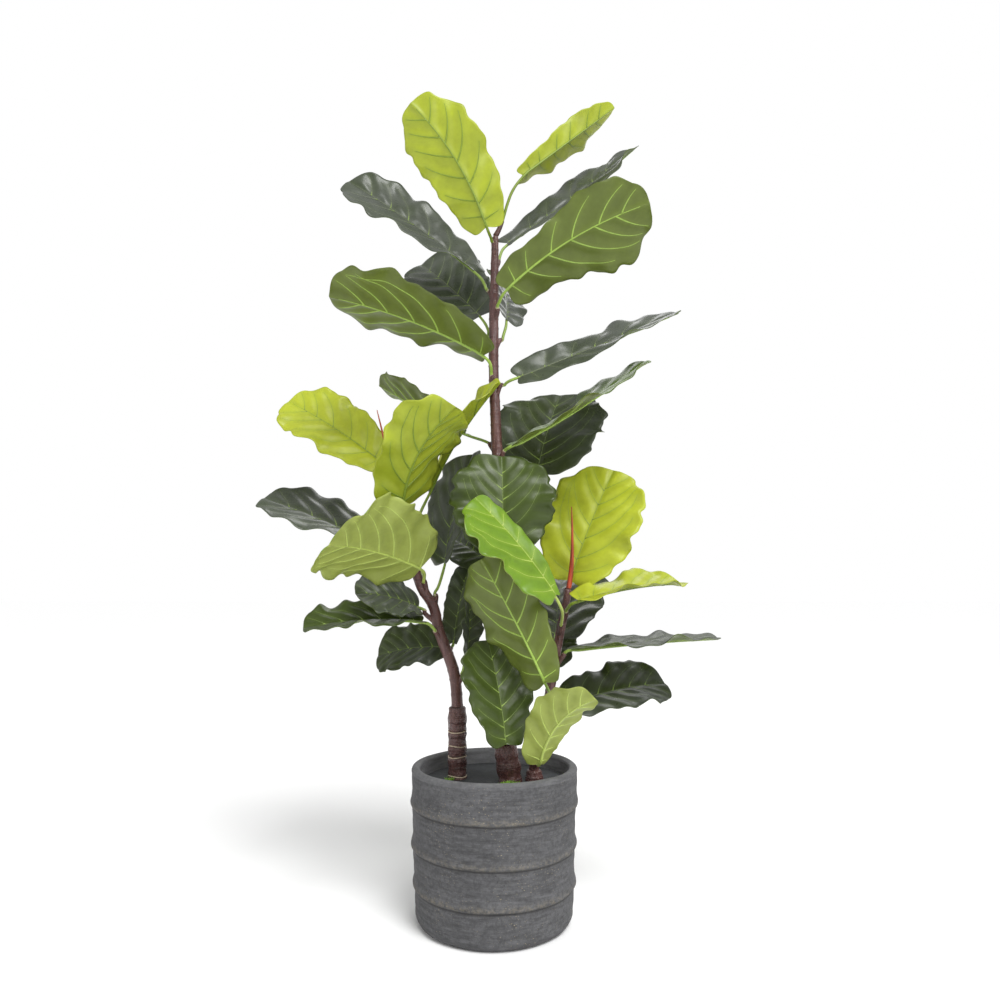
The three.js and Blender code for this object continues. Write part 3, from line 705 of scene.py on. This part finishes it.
def add_collar(build, petiole):
    """A short pale collar where the petiole leaves the trunk's stub."""
    start, ahead = smooth_path(petiole[:2], 4)[[0, -1]]
    away = unit(ahead - start)
    path = [start + away * place * MM for place in (-1.2, -0.6, 1.4, 2.0)]
    build.add(*tube(path, np.array([2.6, 3.0, 2.9, 2.4]) * MM, 12), COLLAR_PART)


def make_leaf(node, tone, seed):
    """Builds one leaf, and returns where it leaves its trunk and in which direction."""
    petiole, middles, reaches = leaf_frame(node)
    blade = Blade(middles, reaches, seed)
    build = Build()
    add_skin(build, blade)
    add_veins(build, blade)
    add_midrib(build, blade, petiole)
    add_collar(build, petiole)
    materials = [TOPS[tone], UNDERS[tone], RIBS[tone], COLLAR, LINES[tone]]
    build.finish("leaf_" + node.name, node.name, materials)
    return petiole[0], unit(petiole[1] - petiole[0])


# ------------------------------------------------------------------ the leaves
# Leaves whose colour differs from the rest of their slot.
SPECIAL = {
    "bright": ["right_leaf_01", "right_leaf_08", "left_leaf_04"],
    "olive": ["centre_leaf_13", "centre_leaf_17", "left_leaf_08"],
    # The grey tone is a greyer, paler top for leaves seen at grazing angles: painted sheen.
    "grey": ["centre_leaf_03", "centre_leaf_04", "centre_leaf_06", "centre_leaf_07", "centre_leaf_09",
             "left_leaf_05", "right_leaf_05", "right_leaf_06"],
}
slots = {row["node"]: row["material_slot"] for row in frame["record"]["subparts"]}
leaf_starts = {"left": [], "centre": [], "right": []}
for number, (name, node) in enumerate(sorted(frame["nodes"].items())):
    if "_leaf_" in name:
        own = [tone for tone, names in SPECIAL.items() if name in names]
        tone = own[0] if own else slots[name].replace("leaf_", "")
        leaf_starts[name.split("_")[0]].append(make_leaf(node, tone, 40 + number))


# ------------------------------------------------------------------ trunks, sleeves and buds
# All in mm: the height of the sleeve's top, the trunk's path and radii, and the sleeve's radius and threads.
TRUNK_FOOT, SLEEVE_FOOT = 200, 88
TRUNKS = {
    "left": {
        "top": 303, "radii": [9, 8.8, 8.6, 8.4, 8.2, 8, 7.6, 7, 6.6, 6],
        "path": [[-56, 4, 200], [-57, 4, 303], [-64, 6, 359], [-75, 8, 388], [-87, 8, 418], [-96, 6, 455],
                 [-115, 4, 486], [-124, 2, 512], [-136, 0, 560], [-146, 0, 600]],
        "sleeve": 14.5, "threads": [201, 229, 245, 266],
    },
    "centre": {
        "top": 251, "radii": [12, 11.5, 11.2, 11, 9.6, 8.6, 8, 7.4, 5.5],
        "path": [[24, -16, 200], [15, -14, 261], [12, -13, 329], [12, -12, 404], [9, -10, 542], [4, -8, 701],
                 [-1, -6, 816], [-1, -4, 951], [1, -4, 1062]],
        "sleeve": 18, "threads": [],
    },
    "right": {
        "top": 213, "radii": [7.6, 7.6, 7.4, 7.2, 7, 6.6, 5.6],
        "path": [[60, -10, 200], [60, -10, 213], [69, -8, 255], [84, -4, 321], [95, 0, 381], [108, 2, 442],
                 [116, 4, 482]],
        "sleeve": 13, "threads": [],
    },
}


def running_length(path):
    """How far along the path each of its points is."""
    return np.concatenate([[0], np.cumsum(np.linalg.norm(np.diff(path, axis=0), axis=1))])


def make_stem(name, trunk):
    """A trunk with its ring scars, and a stub for every leaf."""
    path, radii = np.array(trunk["path"], float) * MM, np.array(trunk["radii"]) * MM
    knots = running_length(path)
    at = np.linspace(0, knots[-1], int(knots[-1] / 0.0022))
    line, sizes = hermite(knots, path, at), np.interp(at, knots, radii)
    keep = line[:, 2] > (trunk["top"] - 3) * MM
    line, sizes = line[keep], sizes[keep]
    shuffle = np.random.default_rng(len(name))
    scars = np.cumsum(shuffle.uniform(0.012, 0.026, 80))
    gaps = np.abs(at[keep][:, None] - scars[None]).min(1)
    sizes = sizes * (1 + 0.075 * np.exp(-((gaps / 0.0016) ** 2)))
    sizes[-3:] *= [0.96, 0.85, 0.55]
    phases = shuffle.uniform(0, 6.28, 3)

    def dent(i, angle):
        z = line[i][2]
        lump = 0.03 * math.sin(3 * angle + 60 * z + phases[0])
        return 1 + lump + 0.02 * math.sin(7 * angle - 90 * z + phases[1])

    build = Build()
    build.add(*tube(line, sizes, 28, dent))
    share = np.linspace(0, 1, 14)
    stub_radii = np.interp(share, [0, 0.5, 0.9, 1], [4.6, 3.9, 3.4, 3.2]) * MM
    t = share[:, None]
    weights = [(1 - t) ** 3, 3 * t * (1 - t) ** 2, 3 * t**2 * (1 - t), t**3]
    for start, towards in leaf_starts[name]:
        low = start[2] - 0.022
        near = np.array([np.interp(low, line[:, 2], line[:, k]) for k in range(3)])
        aside = unit((start - near) * [1, 1, 0])
        bend = near + aside * 0.006 + [0, 0, 0.009]
        pulls = [near, bend, start - towards * 0.007, start - towards * 0.0005]
        build.add(*tube(sum(w * pull for w, pull in zip(weights, pulls)), stub_radii, 14))
    build.finish(name + "_stem", name + "_trunk", [BARK])


def make_sleeve(name, trunk):
    """The thick ringed base of a trunk, with cream threads where it is bound."""
    path = np.array(trunk["path"], float) * MM

    def middle(z):
        return [np.interp(max(z, TRUNK_FOOT) * MM, path[:, 2], path[:, k]) for k in range(2)]

    heights = np.arange(SLEEVE_FOOT, trunk["top"], 1.5)
    seam = np.random.default_rng(5 + len(name)).uniform(0, 6.28, 4)
    swell = 1 + 0.045 * np.sin(heights / 3.4 + seam[0]) + 0.035 * np.sin(heights / 7.5 + seam[1])
    for z in trunk["threads"]:
        swell -= 0.09 * np.exp(-(((heights - z) / 2.2) ** 2))
    swell[-2:] *= [0.95, 0.84]

    def knobs(i, angle):
        z = heights[i]
        lump = 0.03 * math.sin(4 * angle + z / 9 + seam[2])
        return 1 + (lump + 0.022 * math.sin(9 * angle - z / 4 + seam[3]))

    build = Build()
    axis = [middle(z) + [z * MM] for z in heights]
    build.add(*tube(axis, trunk["sleeve"] * MM * swell * 0.97, 32, knobs))
    turn = np.linspace(0, 2 * np.pi * 1.02, 60)
    reach = trunk["sleeve"] * MM * 0.935
    for z in trunk["threads"]:
        x, y = middle(z)
        wander = 0.9 * MM * np.sin(2 * turn + z)
        loop = np.column_stack([x + reach * np.cos(turn), y + reach * np.sin(turn), z * MM + wander])
        build.add(*tube(loop, np.full(60, 0.9 * MM), 8), 1)
    build.finish(name + "_base", name + "_bark_sleeve", [BARK_BASE, THREAD])


for trunk_name, trunk_facts in TRUNKS.items():
    make_stem(trunk_name, trunk_facts)
    make_sleeve(trunk_name, trunk_facts)


def make_bud(name):
    """A rolled young leaf along the middle of the CAD bud."""
    # The CAD bud is seven rings of six points with a point at each end, in order of height.
    points = np.array([v.co for v in frame["nodes"][name].data.vertices])
    points = np.unique(np.round(points, 6), axis=0)
    points = points[points[:, 2].argsort()]
    groups = [points[:7]] + [points[7 + 6 * k:13 + 6 * k] for k in range(5)] + [points[-7:]]
    line = smooth_path([group.mean(0) for group in groups], 60)
    along = np.linspace(0, 1, 60)

    def rolled(i, angle):
        return 1 + 0.12 * math.sin(angle + 5 * along[i]) + 0.08 * math.sin(2 * angle + 9 * along[i])

    build = Build()
    build.add(*tube(line, (4.1 - 3.5 * along ** 1.2) * MM, 20, rolled))
    build.finish(name.replace("bud", "young_leaf"), name, [BUD])


make_bud("left_bud")
make_bud("right_bud")


# ------------------------------------------------------------------ pot, disc, filler and moss
# All in mm.
POT_HEIGHT, RIM_RADIUS, WALL = 219.0, 125.0, 13.0
POT_SIDES = 180
FOOT_ROUND = 14             # the round edge between the pot's floor and its wall
RING_HEIGHTS = (50, 104, 162)
RING_PROUD = 3.1
DISC_LOW, DISC_HIGH = 191, 197


def wall_radius(z):
    """The outside of the pot's wall, which widens upwards."""
    return 116 + (z - 15) * 9 / 204


def ring_shape(z):
    """How proud the raised rings stand at a height, how worn the clay is there, and how much painted shadow
    falls under each ring.
    """
    proud, worn, dark = 0.0, 0.0, 0.0
    for low in RING_HEIGHTS:
        x = z - low
        if -3 < x < 24:
            # A sharp lower side, a crest a little above it, then a long soft slope.
            slope = math.exp(-(max(x - 5.5, 0) / 8.0) ** 2)
            proud += RING_PROUD * (1 / (1 + math.exp(-(x - 2.2) / 0.9))) * slope
            worn = max(worn, math.exp(-(((x - 5.5) / 4.5) ** 2)))
            # dark is painted shadow under the ring's sharp lower side.
            dark = max(dark, math.exp(-(((x - 0.5) / 1.6) ** 2)))
    return proud, worn, dark


def pot_profile():
    """Rows of radius, height, how worn the clay is, its painted shadow under the rings and its painted light:
    up the outside, then down inside.
    """
    rows = [[0, 0, 0, 0, 0], [60, 0, 0, 0, 0], [101, 0, 0, 0, 0]]
    for angle in np.radians(np.linspace(0, 90, 10)[1:]):
        rows.append([102 + FOOT_ROUND * math.sin(angle), FOOT_ROUND * (1 - math.cos(angle)), 0, 0, 0])
    for z in np.arange(15.5, POT_HEIGHT - 8, 1.0):
        proud, worn, dark = ring_shape(z)
        rows.append([wall_radius(z) + proud, z, worn, dark, 0])
    round_edge = WALL / 2
    for angle in np.linspace(0, 180, 17):
        across, up = round_edge * math.cos(math.radians(angle)), round_edge * math.sin(math.radians(angle))
        # pale is painted light: a painted highlight along the top of the rim.
        pale = 0.35 + 0.5 * math.exp(-(((angle - 150) / 50) ** 2))
        rows.append([RIM_RADIUS - round_edge + across, POT_HEIGHT - round_edge + up, 0, 0, pale])
    # The inside wall is fully pale: painted light.
    for z in np.linspace(POT_HEIGHT - round_edge - 4, 26, 40):
        rows.append([wall_radius(z) - WALL, z, 0, 0, 1.0])
    return np.array(rows + [[wall_radius(20) - WALL - 3, 18, 0, 0, 0], [60, 16, 0, 0, 0], [0, 16, 0, 0, 0]])


def make_pot():
    """The turned pot, a little out of round."""
    rows = pot_profile()

    def wobble(z, angles):
        waves = np.sin(3 * angles + 40 * z) + 0.6 * np.sin(7 * angles - 90 * z)
        waves += 0.5 * np.sin(11 * angles + 300 * z)
        return 0.45 * MM * waves * (z > 0.004)

    points, faces = lathe(rows[:, :2] * MM, POT_SIDES, wobble)
    repeats = [1] + [POT_SIDES] * (len(rows) - 2) + [1]
    worn, dark, pale = (np.repeat(rows[:, k], repeats) for k in (2, 3, 4))
    build = Build()
    # groove carries the painted shadow under the rings, and pale the painted light on the rim and inside
    # wall.
    build.add(points, faces, crest=worn, groove=dark, pale=pale)
    build.finish("clay_pot", "pot", [POT_CLAY])


def make_disc():
    """The flat disc that hides the filler, with a softened edge and a shadow gap to the wall."""
    edge = wall_radius(DISC_HIGH) - WALL - 4.5
    profile = [[0, DISC_LOW], [edge - 1, DISC_LOW], [edge, DISC_LOW + 1.5], [edge, DISC_HIGH - 1.4],
               [edge - 0.5, DISC_HIGH - 0.4], [edge - 1.6, DISC_HIGH], [60, DISC_HIGH], [0, DISC_HIGH]]
    build = Build()
    build.add(*lathe(np.array(profile) * MM, 160))
    build.finish("top_disc", "cover_disc", [DISC_GREY])


make_pot()
make_disc()

filler_node = frame["nodes"]["planting_filler"]
filler_node.data.materials.clear()
filler_node.data.materials.append(FILLER)


def make_tuft(node_name, shoots, seed):
    """Many short curled shoots over a low mound."""
    low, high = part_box(node_name)
    centre, size = (low + high) / 2, (high - low) / 2
    shuffle = np.random.default_rng(seed)
    build = Build()
    points, faces = lathe([[0, 0], [0.9, 0], [0.8, 0.35], [0.5, 0.6], [0, 0.7]], 16)
    points = np.array(points) * [size[0], size[1], size[2] * 2] + [centre[0], centre[1], low[2]]
    build.add(points, faces)
    for _ in range(shoots):
        angle, share = shuffle.uniform(0, 6.28), math.sqrt(shuffle.uniform(0, 0.9))
        out = np.array([math.cos(angle), math.sin(angle)]) * share
        x, y = centre[0] + out[0] * size[0], centre[1] + out[1] * size[1]
        root = np.array([x, y, low[2] + size[2] * (1.1 - share)])
        lean = np.array([out[0] + shuffle.uniform(-0.5, 0.5), out[1] + shuffle.uniform(-0.5, 0.5), 1.2])
        tall = shuffle.uniform(0.002, 0.0042)
        side = unit([lean[1], -lean[0], shuffle.uniform(-0.4, 0.4)])
        # (along the lean, to the side), in shares of the shoot's height.
        bends = [(0, 0), (0.4, 0), (0.75, 0.35), (0.9, 0.8)]
        path = [root + lean * tall * ahead + side * tall * aside for ahead, aside in bends]
        build.add(*tube(path, np.array([0.5, 0.55, 0.42, 0.15]) * MM, 5))
    build.finish(node_name + "_tuft", node_name, [MOSS])


make_tuft("moss_front", 130, 3)
make_tuft("moss_side", 30, 4)


# ------------------------------------------------------------------ stage, light and camera
def place_stage(name, data, place=(0, 0, 0), turn=None):
    """Adds a light or the camera, turned as given."""
    made = bpy.data.objects.new(name, data)
    made.location = place
    if turn:
        made.rotation_euler = turn
    bpy.context.scene.collection.objects.link(made)
    return made


def facing(way):
    """The turn of a light that shines along the given way."""
    return Vector(way).to_track_quat("-Z", "Y").to_euler()


def lamp(name, place, aim, size, power):
    """A rectangular soft box."""
    data = bpy.data.lights.new(name, "AREA")
    data.shape = "RECTANGLE"
    data.size, data.size_y, data.energy = size[0], size[1], power
    place_stage(name, data, place, facing(Vector(aim) - Vector(place)))


bpy.ops.mesh.primitive_plane_add(size=90, location=(0, 0, 0))
floor = bpy.context.object
floor.name = "floor"
floor_paint = Shader("floor_white")
floor_paint.set(Base_Color=linear(252, 252, 252), Roughness=0.9)
floor.data.materials.append(floor_paint.material)

# The camera sees a white backdrop, and the light that it gives is softer.
BACKDROP_LIGHT, BACKDROP_SEEN = 0.5, 1.0
world = bpy.data.worlds.new("studio")
world.use_nodes = True
backdrop = world.node_tree.nodes["Background"]
backdrop.inputs["Color"].default_value = (1.0, 1.0, 1.0, 1.0)
ray = world.node_tree.nodes.new("ShaderNodeLightPath")
strength = world.node_tree.nodes.new("ShaderNodeMapRange")
strength.inputs["To Min"].default_value = BACKDROP_LIGHT
strength.inputs["To Max"].default_value = BACKDROP_SEEN
world.node_tree.links.new(ray.outputs["Is Camera Ray"], strength.inputs["Value"])
world.node_tree.links.new(strength.outputs["Result"], backdrop.inputs["Strength"])
bpy.context.scene.world = world

sun_data = bpy.data.lights.new("soft_sun", "SUN")
sun_data.angle = math.radians(30)
sun_data.energy = 2.15
place_stage("soft_sun", sun_data, turn=facing((-0.35, 0.6, -1.0)))

lamp("key", (1.5, -2.2, 1.9), (0, 0, 0.6), (1.2, 1.2), 26)
lamp("fill", (-2.2, -1.6, 1.4), (0, 0, 0.6), (1.6, 1.6), 10)
lamp("rim", (0.4, 2.2, 2.6), (0, 0, 0.7), (2.0, 1.2), 14)

# The camera stands in front at the height of the lower leaves, tilted a little up.
camera_data = bpy.data.cameras.new("photo")
camera_data.sensor_width = 36
camera_data.lens = 26.46
camera = place_stage("photo", camera_data, (0.0087, -1.156, 0.474), (math.radians(97.29), 0, 0))
bpy.context.scene.camera = camera
bpy.context.scene.view_settings.view_transform = "Standard"
